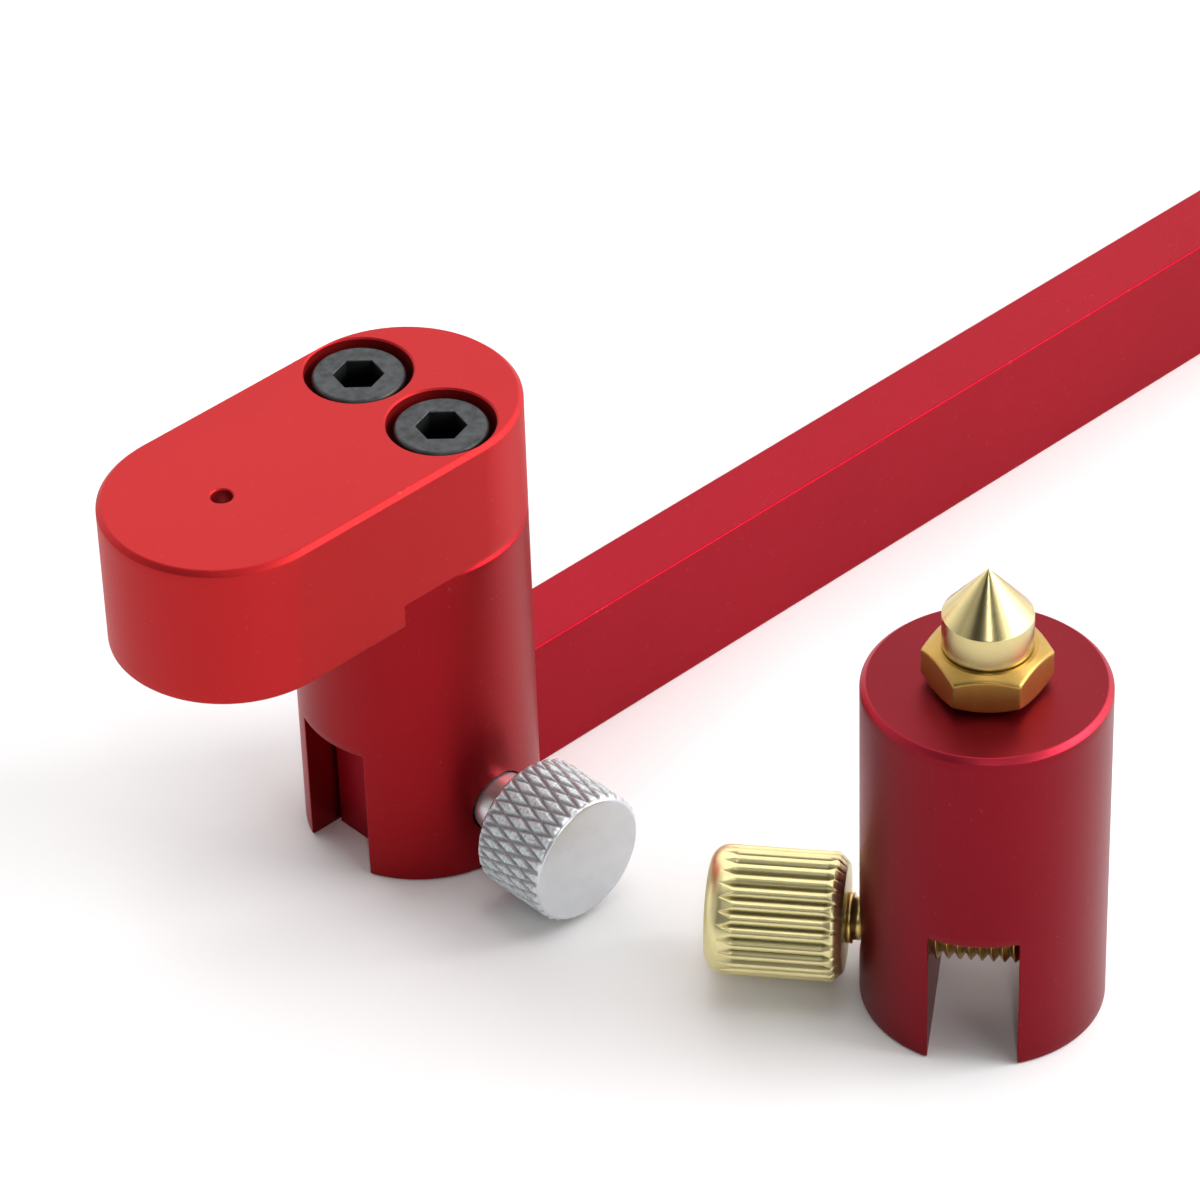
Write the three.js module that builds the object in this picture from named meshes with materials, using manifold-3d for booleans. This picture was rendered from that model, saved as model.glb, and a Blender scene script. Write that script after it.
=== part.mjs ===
// Compass scriber: a flat beam with a scribing head clamped near its end, and the loose centre head
// that is slid on to the beam to draw a circle.
// Millimetres, +Z up. X runs along the beam, away from the scribing head. The origin is on the beam's
// underside, straight below the axis of the scribing head's post.
import * as THREE from 'three';
import { mergeVertices } from 'three/addons/utils/BufferGeometryUtils.js';
import Module from 'manifold-3d';

const wasm = await Module();
wasm.setup();

// Clearances
const seamGap = 0.1; // between two faces that are screwed together
const fitGap = 0.3; // round a piece that passes through, rests on or slides in another
const overrun = 1; // how far a cutter runs past what it cuts

// Beam
const beamLength = 200;
const beamWidth = 7;
const beamHeight = 13.7;
const beamEdgeRadius = 0.5;
const beamEndInset = 7.1; // from the scribing post's axis back to the beam's end

// Both posts: a round bar with a slot across its lower end for the beam
const postRadius = 11;
const postHeight = 35;
const postTopChamfer = 0.5;
const postFootChamfer = 0.2;
const slotPlay = 0.7; // room beside the beam on the clamp screw's side
const slotWidth = beamWidth + fitGap + slotPlay;
const slotDepth = beamHeight + fitGap;
const beamCentreY = slotWidth / 2 - fitGap - beamWidth / 2; // pressed to the side away from the screw
const clampAxisHeight = beamHeight / 2;

// Scribing arm, which overhangs the post so that a pencil can pass beside it
const armReach = 20.7; // from the post's axis to the lead hole
const armThickness = 12.1;
const armChamfer = 0.45;
const lipDepth = 2.5; // how far the overhang hangs below the post's top
const lipInset = 1; // how far the lip's wall stands inside the post's round

// Pencil bore in the arm
const pencilBoreRadius = 4.1;
const leadHoleRadius = 1;
const leadHoleLength = 1.5;
const pencilConeLength = 4.2;

// Cap screws that hold the arm on the post
const screwSpacing = 11;
const screwRadius = 2.5;
const screwLength = 16;
const screwHeadRadius = 4.25;
const screwHeadHeight = 5;
const screwHeadChamfer = 0.25;
const screwHeadRecess = 0.4; // from the arm's face down to the head
const socketAcross = 4;
const socketDepth = 2.6;
const counterboreRadius = 4.95;
const tappedHoleSpare = 2; // depth of the tapped hole past the screw's tip
const armBaseHeight = postHeight + seamGap;
const screwSeatHeight = armBaseHeight + armThickness - screwHeadRecess - screwHeadHeight;

// Grub screw that grips the pencil
const grubRadius = 2;
const grubSink = 0.6; // how far its outer end lies inside the arm's side
const grubLength = postRadius - grubSink - pencilBoreRadius - fitGap;
const grubSocketAcross = 2;
const grubSocketDepth = 2.2;
const grubChamfer = 0.3;
const grubHeightAboveLip = 5;

// Thread of the two clamp screws and of the centre point
const threadRadius = 3;
const threadPitch = 1;
const threadDepth = 0.6;
const threadLeadIn = 0.6;
const spigotRadius = 1.9; // end of a clamp stud, pressed into its knob
const spigotFillShare = 0.6; // how far the spigot reaches into the knob

// Steel clamp screw of the scribing head
const steelKnobRadius = 6.4;
const steelKnobLength = 8.1;
const steelKnobChamfer = 0.5;
const steelKnobStandoff = 3.5; // from the post to the knob
const steelNeckRadius = 2.1;
const steelCollarRadius = 2.7;
const steelCollarLength = 3.6;
const knurlDepth = 0.25;
const knurlColumns = 64; // two to a diamond
const knurlRows = 4; // two to a diamond
const steelMouthRadius = 3.9; // countersink of the threaded hole
const mouthDepth = 0.6;

// Brass clamp screw of the centre head
const brassKnobRadius = 5.85;
const brassKnobLength = 12.4;
const brassKnobEndRadius = 1.7;
const brassKnobInnerChamfer = 0.9;
const brassKnobStandoff = 1.1;
const brassNeckRadius = 1.95;
const brassShoulderRadius = 2.3;
const brassShoulderLength = 0.55;
const fluteCount = 28;
const fluteDepth = 0.5;
const fluteRunOut = 1; // length over which a flute comes to a point
const fluteLandShare = 0.25; // half the land between two flutes, as a share of their spacing
const pointsPerFlute = 3; // the land's two edges and the flute's root

// Centre point and its lock nut
const nutAcross = 10;
const nutHeight = 4;
const nutFaceShare = 0.88; // radius of its flat end faces, as a share of half its width
const nutChamferAngle = THREE.MathUtils.degToRad(30);
const pointRadius = 4;
const pointCollarHeight = 3.2;
const pointConeHeight = 4.8;
const pointThreadLength = 9; // into the post, below the nut

// Where the loose centre head stands, and how it and the hexagons are turned. Its knob points at the
// scribing head, and the room between the two knobs lets both clamp screws back out.
const centreHeadX = 18.5;
const knobRoom = 9;
const centreHeadTurn = THREE.MathUtils.degToRad(218.7);
const lockNutTurn = THREE.MathUtils.degToRad(4.4);
const armScrewTurn = THREE.MathUtils.degToRad(-13.3);
const steelKnobEnd = postRadius + steelKnobStandoff + steelKnobLength;
const brassKnobEnd = postRadius + brassKnobStandoff + brassKnobLength;
const brassKnobReachY = -brassKnobEnd * Math.cos(centreHeadTurn) - brassKnobRadius * Math.sin(centreHeadTurn);
const centreHeadY = -(steelKnobEnd + knobRoom + brassKnobReachY);

// Facets round a full circle
const wideRound = 48;
const smallRound = 24;
const threadRound = 16;
const cornerSteps = 3;

const finishes = {
  beam: { color: 0xb02430, roughness: 0.42, metalness: 0.75 },
  post: { color: 0x96202a, roughness: 0.4, metalness: 0.75 },
  arm: { color: 0xc8303a, roughness: 0.45, metalness: 0.7 },
  blackSteel: { color: 0x3c3e3e, roughness: 0.5, metalness: 0.8 },
  brightSteel: { color: 0xb4b8ba, roughness: 0.3, metalness: 1 },
  brass: { color: 0xc8b46e, roughness: 0.32, metalness: 1 },
};

// A solid from a closed geometry. Triangles that close up to a line at a pole are left out.
function toSolid(geometry) {
  const bare = geometry.clone();
  bare.deleteAttribute('normal');
  bare.deleteAttribute('uv');
  const merged = mergeVertices(bare);
  const index = merged.index.array;
  const triangles = [];
  for (let i = 0; i < index.length; i += 3) {
    const [a, b, c] = index.subarray(i, i + 3);
    if (a !== b && b !== c && c !== a) triangles.push(a, b, c);
  }
  const vertProperties = merged.attributes.position.array;
  const triVerts = new Uint32Array(triangles);
  return new wasm.Manifold(new wasm.Mesh({ numProp: 3, vertProperties, triVerts }));
}

function toGeometry(solid) {
  const mesh = solid.getMesh();
  const geometry = new THREE.BufferGeometry();
  geometry.setAttribute('position', new THREE.BufferAttribute(mesh.vertProperties, 3));
  geometry.setIndex(new THREE.BufferAttribute(mesh.triVerts, 1));
  return geometry;
}

function cut(solid, ...cutters) {
  return cutters.reduce((left, cutter) => left.subtract(cutter), solid);
}

// A turned shape about Z, from [radius, height] points that climb from the axis back to the axis.
function turned(points, facets = smallRound) {
  const profile = points.map(([radius, height]) => new THREE.Vector2(radius, height));
  return new THREE.LatheGeometry(profile, facets).rotateX(Math.PI / 2);
}

function rod(radius, from, to, facets = smallRound) {
  return turned([[0, from], [radius, from], [radius, to], [0, to]], facets);
}

// A box between two corners.
function block(low, high) {
  const size = high.map((value, axis) => value - low[axis]);
  const centre = high.map((value, axis) => (value + low[axis]) / 2);
  return new THREE.BoxGeometry(...size).translate(...centre);
}

// A six-sided prism about Z with flats facing +X and -X.
function hexPrism(across, from, to) {
  const corner = across / Math.sqrt(3);
  return rod(corner, from, to, 6);
}

// A closed skin over rings of points that climb in Z, each ring running counterclockwise.
// Each square is folded along the diagonal that leaves a peak at the points whose numbers add up even.
function skinned(rings) {
  const columns = rings[0].length;
  const positions = rings.flat(2);
  const lastRing = rings.length - 1;
  const foot = rings.length * columns;
  const head = foot + 1;
  positions.push(0, 0, rings[0][0][2], 0, 0, rings[lastRing][0][2]);
  const index = [];
  for (let column = 0; column < columns; column += 1) {
    const next = (column + 1) % columns;
    index.push(foot, next, column, head, lastRing * columns + column, lastRing * columns + next);
    for (let row = 0; row < lastRing; row += 1) {
      const a = row * columns + column;
      const b = row * columns + next;
      const c = b + columns;
      const d = a + columns;
      if ((row + column) % 2 === 0) index.push(a, b, d, b, c, d);
      else index.push(a, b, c, a, c, d);
    }
  }
  const geometry = new THREE.BufferGeometry();
  geometry.setAttribute('position', new THREE.Float32BufferAttribute(positions, 3));
  geometry.setIndex(index);
  return geometry;
}

// One ring of a skin: radiusAt gives the radius for each column, angleAt its angle.
function ring(columns, height, radiusAt, angleAt = (column) => (2 * Math.PI * column) / columns) {
  return Array.from({ length: columns }, (_, column) => {
    const radius = radiusAt(column);
    const angle = angleAt(column);
    return [radius * Math.cos(angle), radius * Math.sin(angle), height];
  });
}

// A right-hand thread about Z. The crest line and the root line are helices half a pitch apart, and a
// flank joins each step of one to the other. Fans from the axis and a flat step close the two ends.
function threadSkin(from, to) {
  const steps = Math.ceil(((to - from) / threadPitch) * threadRound);
  const onHelix = (radius, start) => (step) => {
    const angle = (2 * Math.PI * step) / threadRound;
    return [radius * Math.cos(angle), radius * Math.sin(angle), start + (threadPitch * step) / threadRound];
  };
  const roots = Array.from({ length: steps + threadRound + 1 }, (_, step) => step)
    .map(onHelix(threadRadius - threadDepth, from - threadPitch / 2));
  const crests = Array.from({ length: steps + 1 }, (_, step) => step).map(onHelix(threadRadius, from));
  const crest = roots.length;
  const foot = crest + crests.length;
  const head = foot + 1;
  const positions = [...roots, ...crests, [0, 0, from], [0, 0, to]].flat();
  const index = [];
  for (let step = 0; step < steps; step += 1) {
    const low = crest + step;
    const upper = step + threadRound;
    index.push(step, step + 1, low + 1, step, low + 1, low);
    index.push(low, low + 1, upper + 1, low, upper + 1, upper);
  }
  for (let step = 0; step < threadRound; step += 1) {
    index.push(foot, step + 1, step, head, steps + step, steps + step + 1);
  }
  index.push(foot, 0, crest, foot, crest, threadRound);
  index.push(head, steps + threadRound, crest + steps, head, crest + steps, steps);
  const geometry = new THREE.BufferGeometry();
  geometry.setAttribute('position', new THREE.Float32BufferAttribute(positions, 3));
  geometry.setIndex(index);
  return geometry;
}

// A threaded length about Z, cut to length and chamfered at both ends by a barrel that clears the
// crests between them.
function threadedLength(from, to) {
  const thread = toSolid(threadSkin(from - threadPitch, to + threadPitch));
  const tipRadius = threadRadius - threadLeadIn;
  const slope = threadLeadIn + threadDepth;
  const barrel = toSolid(turned([
    [0, from], [tipRadius, from], [tipRadius + slope, from + slope], [tipRadius + slope, to - slope],
    [tipRadius, to], [0, to],
  ], threadRound));
  return thread.intersect(barrel);
}

// A round corner of a turned profile, as points on an arc about [radius, height].
function arcPoints(radius, height, size, startAngle, endAngle) {
  return Array.from({ length: cornerSteps + 1 }, (_, step) => {
    const angle = startAngle + ((endAngle - startAngle) * step) / cornerSteps;
    return [radius + size * Math.cos(angle), height + size * Math.sin(angle)];
  });
}

// Beam: a flat bar with eased edges, drawn as its end view and extruded along X.
function beamGeometry() {
  const halfWidth = beamWidth / 2 - beamEdgeRadius;
  const halfHeight = beamHeight / 2 - beamEdgeRadius;
  const outline = new THREE.Shape();
  outline.absarc(halfWidth, halfHeight, beamEdgeRadius, 0, Math.PI / 2);
  outline.absarc(-halfWidth, halfHeight, beamEdgeRadius, Math.PI / 2, Math.PI);
  outline.absarc(-halfWidth, -halfHeight, beamEdgeRadius, Math.PI, 1.5 * Math.PI);
  outline.absarc(halfWidth, -halfHeight, beamEdgeRadius, 1.5 * Math.PI, 2 * Math.PI);
  const run = { depth: beamLength, bevelEnabled: false, curveSegments: cornerSteps };
  return new THREE.ExtrudeGeometry(outline, run).rotateX(Math.PI / 2).rotateZ(Math.PI / 2);
}

// The slotted round bar that both heads share, with the threaded hole of its clamp screw facing -Y.
function slottedPost() {
  const bar = toSolid(turned([
    [0, 0], [postRadius - postFootChamfer, 0], [postRadius, postFootChamfer],
    [postRadius, postHeight - postTopChamfer], [postRadius - postTopChamfer, postHeight], [0, postHeight],
  ], wideRound));
  const reach = postRadius + overrun;
  const slot = toSolid(block([-reach, -slotWidth / 2, -overrun], [reach, slotWidth / 2, slotDepth]));
  const hole = rod(threadRadius + fitGap, 0, reach).rotateX(Math.PI / 2).translate(0, 0, clampAxisHeight);
  return cut(bar, slot, toSolid(hole));
}

// Scribing post: its top has two tapped holes, a flat for the arm's lip and a countersunk clamp hole.
function scriberPostGeometry() {
  const wall = postRadius - lipInset - fitGap;
  const top = postHeight + overrun;
  const reach = postRadius + overrun;
  const flat = block([-reach, -reach, postHeight - lipDepth - fitGap], [-wall, reach, top]);
  const holeFoot = screwSeatHeight - screwLength - tappedHoleSpare;
  const holes = [-1, 1].map((side) => (
    toSolid(rod(screwRadius + fitGap, holeFoot, top).translate(0, (side * screwSpacing) / 2, 0))
  ));
  const mouth = turned([
    [0, postRadius - mouthDepth], [threadRadius + fitGap, postRadius - mouthDepth],
    [steelMouthRadius, postRadius], [steelMouthRadius, postRadius + overrun], [0, postRadius + overrun],
  ]).rotateX(Math.PI / 2).translate(0, 0, clampAxisHeight);
  return toGeometry(cut(slottedPost(), toSolid(flat), toSolid(mouth), ...holes));
}

// Centre post: the same bar with a threaded hole down from its top for the centre point.
function centrePostGeometry() {
  const holeFoot = postHeight - pointThreadLength - tappedHoleSpare;
  return toGeometry(cut(slottedPost(), toSolid(rod(threadRadius + fitGap, holeFoot, postHeight + overrun))));
}

// The arm's outline seen from above, drawn smaller by an inset: two half circles joined by straight sides.
function armOutline(inset) {
  const radius = postRadius - inset;
  const outline = new THREE.Shape();
  outline.absarc(0, 0, radius, -Math.PI / 2, Math.PI / 2);
  outline.absarc(-armReach, 0, radius, Math.PI / 2, 1.5 * Math.PI);
  return outline;
}

// A slab of the arm's outline whose upper and lower edges are chamfered by a straight bevel.
function armSlab(bottom, top) {
  const slab = new THREE.ExtrudeGeometry(armOutline(armChamfer), {
    depth: top - bottom - 2 * armChamfer,
    bevelThickness: armChamfer,
    bevelSize: armChamfer,
    bevelSegments: 1,
    curveSegments: wideRound / 2,
  });
  return toSolid(slab.translate(0, 0, bottom + armChamfer));
}

// Arm, with its underside at height 0 over the post: counterbored screw holes, the pencil bore that
// narrows to the lead hole, and the grub screw's hole from the side away from the clamp screw.
function scriberArmGeometry() {
  const reach = postRadius + overrun;
  const wall = postRadius - lipInset;
  const postPocket = block([-wall, -reach, -lipDepth - overrun], [reach, reach, 0]);
  const headSeat = armThickness - screwHeadRecess - screwHeadHeight;
  const screwHoles = [-1, 1].map((side) => toSolid(turned([
    [0, -overrun], [screwRadius + fitGap, -overrun], [screwRadius + fitGap, headSeat - seamGap],
    [counterboreRadius, headSeat - seamGap], [counterboreRadius, armThickness + overrun],
    [0, armThickness + overrun],
  ]).translate(0, (side * screwSpacing) / 2, 0)));
  const coneTop = armThickness - leadHoleLength;
  const pencilBore = toSolid(turned([
    [0, -lipDepth - overrun], [pencilBoreRadius, -lipDepth - overrun],
    [pencilBoreRadius, coneTop - pencilConeLength], [leadHoleRadius, coneTop],
    [leadHoleRadius, armThickness + overrun], [0, armThickness + overrun],
  ]).translate(-armReach, 0, 0));
  const grubHole = toSolid(rod(grubRadius + fitGap, 0, reach).rotateX(-Math.PI / 2)
    .translate(-armReach, 0, grubHeightAboveLip - lipDepth));
  const slab = armSlab(-lipDepth, armThickness);
  return toGeometry(cut(slab, toSolid(postPocket), pencilBore, grubHole, ...screwHoles));
}

// Cap screw with its head's underside at height 0 and a six-sided socket in its head.
function capScrewGeometry() {
  const body = toSolid(turned([
    [0, -screwLength], [screwRadius - screwHeadChamfer, -screwLength],
    [screwRadius, -screwLength + screwHeadChamfer], [screwRadius, 0], [screwHeadRadius, 0],
    [screwHeadRadius, screwHeadHeight - screwHeadChamfer],
    [screwHeadRadius - screwHeadChamfer, screwHeadHeight], [0, screwHeadHeight],
  ]));
  const socket = toSolid(hexPrism(socketAcross, screwHeadHeight - socketDepth, screwHeadHeight + overrun));
  return toGeometry(cut(body, socket));
}

// Grub screw along Z, its tip at height 0 and its socket at the outer end.
function grubScrewGeometry() {
  const inner = grubRadius - grubChamfer;
  const body = toSolid(turned([
    [0, 0], [inner, 0], [grubRadius, grubChamfer], [grubRadius, grubLength - grubChamfer],
    [inner, grubLength], [0, grubLength],
  ]));
  const socket = toSolid(hexPrism(grubSocketAcross, grubLength - grubSocketDepth, grubLength + overrun));
  return toGeometry(cut(body, socket));
}

// Steel stud along Z, measured from the post's axis: thread, polished barrel collar and spigot.
function steelStudGeometry() {
  const tip = slotWidth / 2 - slotPlay + fitGap;
  const threadEnd = postRadius - mouthDepth;
  const knobFace = postRadius + steelKnobStandoff;
  const spigotEnd = knobFace + steelKnobLength * spigotFillShare;
  const collarMiddle = (threadEnd + knobFace) / 2;
  const collarBulge = steelCollarRadius - steelNeckRadius;
  const collar = Array.from({ length: 2 * cornerSteps + 1 }, (_, step) => {
    const angle = (Math.PI * step) / (2 * cornerSteps);
    const height = collarMiddle - (steelCollarLength / 2) * Math.cos(angle);
    return [steelNeckRadius + collarBulge * Math.sqrt(Math.sin(angle)), height];
  });
  const neck = toSolid(turned([
    [0, threadEnd - overrun], [steelNeckRadius, threadEnd - overrun], ...collar, [steelNeckRadius, knobFace],
    [spigotRadius, knobFace], [spigotRadius, spigotEnd], [0, spigotEnd],
  ]));
  return toGeometry(threadedLength(tip, threadEnd).add(neck));
}

// Brass stud along Z, measured from the post's axis. Its thread crosses the whole slot.
function brassStudGeometry() {
  const threadEnd = postRadius - mouthDepth;
  const knobFace = postRadius + brassKnobStandoff;
  const spigotEnd = knobFace + brassKnobLength * spigotFillShare;
  const neck = toSolid(turned([
    [0, threadEnd - overrun], [brassNeckRadius, threadEnd - overrun],
    [brassNeckRadius, knobFace - brassShoulderLength], [brassShoulderRadius, knobFace - brassShoulderLength],
    [brassShoulderRadius, knobFace], [spigotRadius, knobFace], [spigotRadius, spigotEnd], [0, spigotEnd],
  ]));
  return toGeometry(threadedLength(fitGap - slotWidth / 2, threadEnd).add(neck));
}

// The blind hole in a knob's inner face that its stud's spigot fits.
function spigotHole(knobLength) {
  return toSolid(rod(spigotRadius + fitGap, -overrun, knobLength * spigotFillShare + fitGap));
}

// Steel knob along Z with its inner face at height 0: a diamond knurl between two chamfers.
function steelKnobGeometry() {
  const from = steelKnobChamfer;
  const to = steelKnobLength - steelKnobChamfer;
  const endRadius = steelKnobRadius - steelKnobChamfer;
  const rings = [ring(knurlColumns, 0, () => endRadius)];
  for (let row = 1; row <= knurlRows + 1; row += 1) {
    const height = from + ((to - from) * (row - 1)) / knurlRows;
    rings.push(ring(knurlColumns, height, (column) => steelKnobRadius - knurlDepth * ((row + column) % 2)));
  }
  rings.push(ring(knurlColumns, steelKnobLength, () => endRadius));
  return toGeometry(cut(toSolid(skinned(rings)), spigotHole(steelKnobLength)));
}

// Brass knob along Z with its inner face at height 0: straight V flutes that come to a point at both
// ends, a chamfered inner edge and a rounded outer end.
function brassKnobGeometry() {
  const spacing = (2 * Math.PI) / fluteCount;
  const offsetShares = [-fluteLandShare, fluteLandShare, 1 / 2];
  const placeOf = (column) => column % pointsPerFlute;
  const angleAt = (column) => spacing * (Math.floor(column / pointsPerFlute) + offsetShares[placeOf(column)]);
  const outerCorner = brassKnobLength - brassKnobEndRadius;
  const profile = [
    [brassKnobRadius - brassKnobInnerChamfer, 0, 0],
    [brassKnobRadius, brassKnobInnerChamfer, 0],
    [brassKnobRadius, brassKnobInnerChamfer + fluteRunOut, fluteDepth],
    [brassKnobRadius, outerCorner - fluteRunOut, fluteDepth],
    ...arcPoints(brassKnobRadius - brassKnobEndRadius, outerCorner, brassKnobEndRadius, 0, Math.PI / 2),
  ];
  const rings = profile.map(([radius, height, depth = 0]) => {
    const radiusAt = (column) => radius - (placeOf(column) === pointsPerFlute - 1 ? depth : 0);
    return ring(fluteCount * pointsPerFlute, height, radiusAt, angleAt);
  });
  return toGeometry(cut(toSolid(skinned(rings)), spigotHole(brassKnobLength)));
}

// Lock nut with its underside at height 0: a hexagon whose corners are turned back to cones.
function lockNutGeometry() {
  const corner = nutAcross / Math.sqrt(3);
  const face = (nutAcross / 2) * nutFaceShare;
  const drop = (corner - face) * Math.tan(nutChamferAngle);
  const cones = toSolid(turned([
    [0, 0], [face, 0], [corner, drop], [corner, nutHeight - drop], [face, nutHeight], [0, nutHeight],
  ]));
  const bore = toSolid(rod(threadRadius + fitGap, -overrun, nutHeight + overrun));
  return toGeometry(cut(toSolid(hexPrism(nutAcross, -overrun, nutHeight + overrun)).intersect(cones), bore));
}

// Centre point with its collar's underside at height 0: a cone on a short collar, and a threaded shank
// that passes through the nut into the post.
function centrePointGeometry() {
  const head = toSolid(turned([
    [0, -overrun], [threadRadius - threadDepth, -overrun], [threadRadius - threadDepth, 0], [pointRadius, 0],
    [pointRadius, pointCollarHeight], [0, pointCollarHeight + pointConeHeight],
  ]));
  return toGeometry(threadedLength(-nutHeight - fitGap - pointThreadLength, 0).add(head));
}

function named(name, geometry, finish) {
  geometry.computeVertexNormals();
  const mesh = new THREE.Mesh(geometry, new THREE.MeshStandardMaterial(finish));
  mesh.name = name;
  return mesh;
}

// Turns a piece drawn along Z so that it points out of the post on the clamp screw's side, -Y.
function alongClampAxis(mesh, distance) {
  mesh.rotation.x = Math.PI / 2;
  mesh.position.set(0, -distance, clampAxisHeight);
  return mesh;
}

function scribingHead() {
  const head = new THREE.Group();
  const post = named('scriber_post', scriberPostGeometry(), finishes.post);
  const arm = named('scriber_arm', scriberArmGeometry(), finishes.arm);
  arm.position.z = armBaseHeight;
  head.add(post, arm);
  for (const [name, side] of [['arm_screw_near', -1], ['arm_screw_far', 1]]) {
    const screw = named(name, capScrewGeometry(), finishes.blackSteel);
    screw.position.set(0, (side * screwSpacing) / 2, screwSeatHeight);
    screw.rotation.z = armScrewTurn;
    head.add(screw);
  }
  const grub = named('pencil_grub_screw', grubScrewGeometry(), finishes.blackSteel);
  grub.rotation.x = -Math.PI / 2;
  grub.position.set(-armReach, pencilBoreRadius + fitGap, armBaseHeight - lipDepth + grubHeightAboveLip);
  const stud = alongClampAxis(named('scriber_clamp_stud', steelStudGeometry(), finishes.brightSteel), 0);
  const knob = named('scriber_clamp_knob', steelKnobGeometry(), finishes.brightSteel);
  head.add(grub, stud, alongClampAxis(knob, postRadius + steelKnobStandoff + seamGap));
  return head;
}

function centreHead() {
  const head = new THREE.Group();
  const post = named('centre_post', centrePostGeometry(), finishes.post);
  const stud = alongClampAxis(named('centre_clamp_stud', brassStudGeometry(), finishes.brass), 0);
  const knob = named('centre_clamp_knob', brassKnobGeometry(), finishes.brass);
  const nut = named('centre_lock_nut', lockNutGeometry(), finishes.brass);
  nut.position.z = postHeight + seamGap;
  nut.rotation.z = lockNutTurn;
  const point = named('centre_point', centrePointGeometry(), finishes.brass);
  point.position.z = nut.position.z + nutHeight + seamGap;
  head.add(post, stud, alongClampAxis(knob, postRadius + brassKnobStandoff + seamGap), nut, point);
  head.position.set(centreHeadX, centreHeadY, 0);
  head.rotation.z = centreHeadTurn;
  return head;
}

const compassScriber = new THREE.Group();
const beam = named('beam', beamGeometry(), finishes.beam);
beam.position.set(-beamEndInset, beamCentreY, beamHeight / 2);
compassScriber.add(beam, scribingHead(), centreHead());

export default compassScriber;
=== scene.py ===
# %% [markdown]
# # Compass scriber: the finish of every surface
# The frame holds the tool's pieces at their real size, as plain faceted solids. This file gives each
# piece a fine surface and a finish, lays a pale floor, sets soft studio light and a camera.
# A turned piece is a profile carried round its axis, a bar is a section carried along its length, and
# holes are cut with solids made the same way.

# %% Load the frame
import bpy
import numpy as np
from mathutils import Matrix, Vector


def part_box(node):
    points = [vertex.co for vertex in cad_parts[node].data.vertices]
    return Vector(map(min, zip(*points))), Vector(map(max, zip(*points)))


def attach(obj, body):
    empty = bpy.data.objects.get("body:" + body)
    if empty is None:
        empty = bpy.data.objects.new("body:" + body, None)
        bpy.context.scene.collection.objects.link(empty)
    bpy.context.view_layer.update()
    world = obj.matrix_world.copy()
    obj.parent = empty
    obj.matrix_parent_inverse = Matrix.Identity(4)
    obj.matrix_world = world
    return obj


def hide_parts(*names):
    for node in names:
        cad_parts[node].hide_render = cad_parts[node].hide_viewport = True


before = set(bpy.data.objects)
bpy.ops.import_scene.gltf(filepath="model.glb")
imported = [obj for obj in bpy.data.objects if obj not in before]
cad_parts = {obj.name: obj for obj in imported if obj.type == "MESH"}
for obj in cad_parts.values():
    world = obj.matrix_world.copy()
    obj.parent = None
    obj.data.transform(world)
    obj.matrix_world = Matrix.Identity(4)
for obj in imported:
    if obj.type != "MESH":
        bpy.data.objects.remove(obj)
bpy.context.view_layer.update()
print("pieces in the frame:", sorted(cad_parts))

# %% [markdown]
# ## Sizes
# The frame is in metres, and a maker thinks in millimetres, so every size is written in millimetres
# and multiplied once. Sizes that the frame can tell are read from the boxes of its nodes. The sizes
# here serve more than one piece, and each piece's own stand in its cell.

# %% Sizes that pieces share
MM = 0.001
POST_RADIUS = 11 * MM
POST_HEIGHT = 35 * MM
POST_CHAMFER = 0.5 * MM
CLAMP_HEIGHT = 6.85 * MM  # the clamp screws' axis above the feet
FIT_GAP = 0.3 * MM  # between a screw and its hole
SEAM_GAP = 0.1 * MM  # between pieces that touch
BROKEN_EDGE = 0.12 * MM
OVERRUN = 1 * MM  # how far a cutter reaches past a face
COLUMNS = 96  # points round a turned piece
print("a post is", round(2 * POST_RADIUS / MM), "mm across and", round(POST_HEIGHT / MM), "mm tall")

# %% [markdown]
# ## Where the two heads stand
# The scribing head stands on the frame's origin. The loose head stands beside it and is turned, so its
# place is read from the box of its post, and only its turn is a number of our own.

# %% Places of the heads
def mid_of(node):
    """The middle of a node's box, in metres."""
    low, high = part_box(node)
    return [(low[axis] + high[axis]) / 2 for axis in range(3)]


CENTRE_TURN = np.radians(218.7)
CENTRE_PLACE = mid_of("centre_post")
CENTRE_HEAD = Matrix.Translation((CENTRE_PLACE[0], CENTRE_PLACE[1], 0)) @ Matrix.Rotation(CENTRE_TURN, 4, "Z")
SCRIBING_HEAD = Matrix.Identity(4)
OUT_OF_POST = Matrix.Translation((0, 0, CLAMP_HEIGHT)) @ Matrix.Rotation(np.pi / 2, 4, "X")
print("loose head stands at", [round(value / MM, 2) for value in CENTRE_PLACE[:2]], "mm")


# %% [markdown]
# ## Surfaces from numbers
# A turned surface has two parameters: the place along its profile and the angle round its axis. Both
# are arrays, so all its points come from one formula. The same grid of squares joins the points of any
# such surface, and a flat face closes each end.

# %% Helpers that make meshes
def mesh_piece(name, points, faces, place=None):
    """A mesh object from points and faces. place moves the points, so the object stays at the origin."""
    points = np.asarray(points, dtype=float).reshape(-1, 3)
    if place is not None:
        turn = np.array(place)
        points = points @ turn[:3, :3].T + turn[:3, 3]
    mesh = bpy.data.meshes.new(name)
    mesh.from_pydata(points.tolist(), [], faces)
    piece = bpy.data.objects.new(name, mesh)
    bpy.context.scene.collection.objects.link(piece)
    return piece


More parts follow.
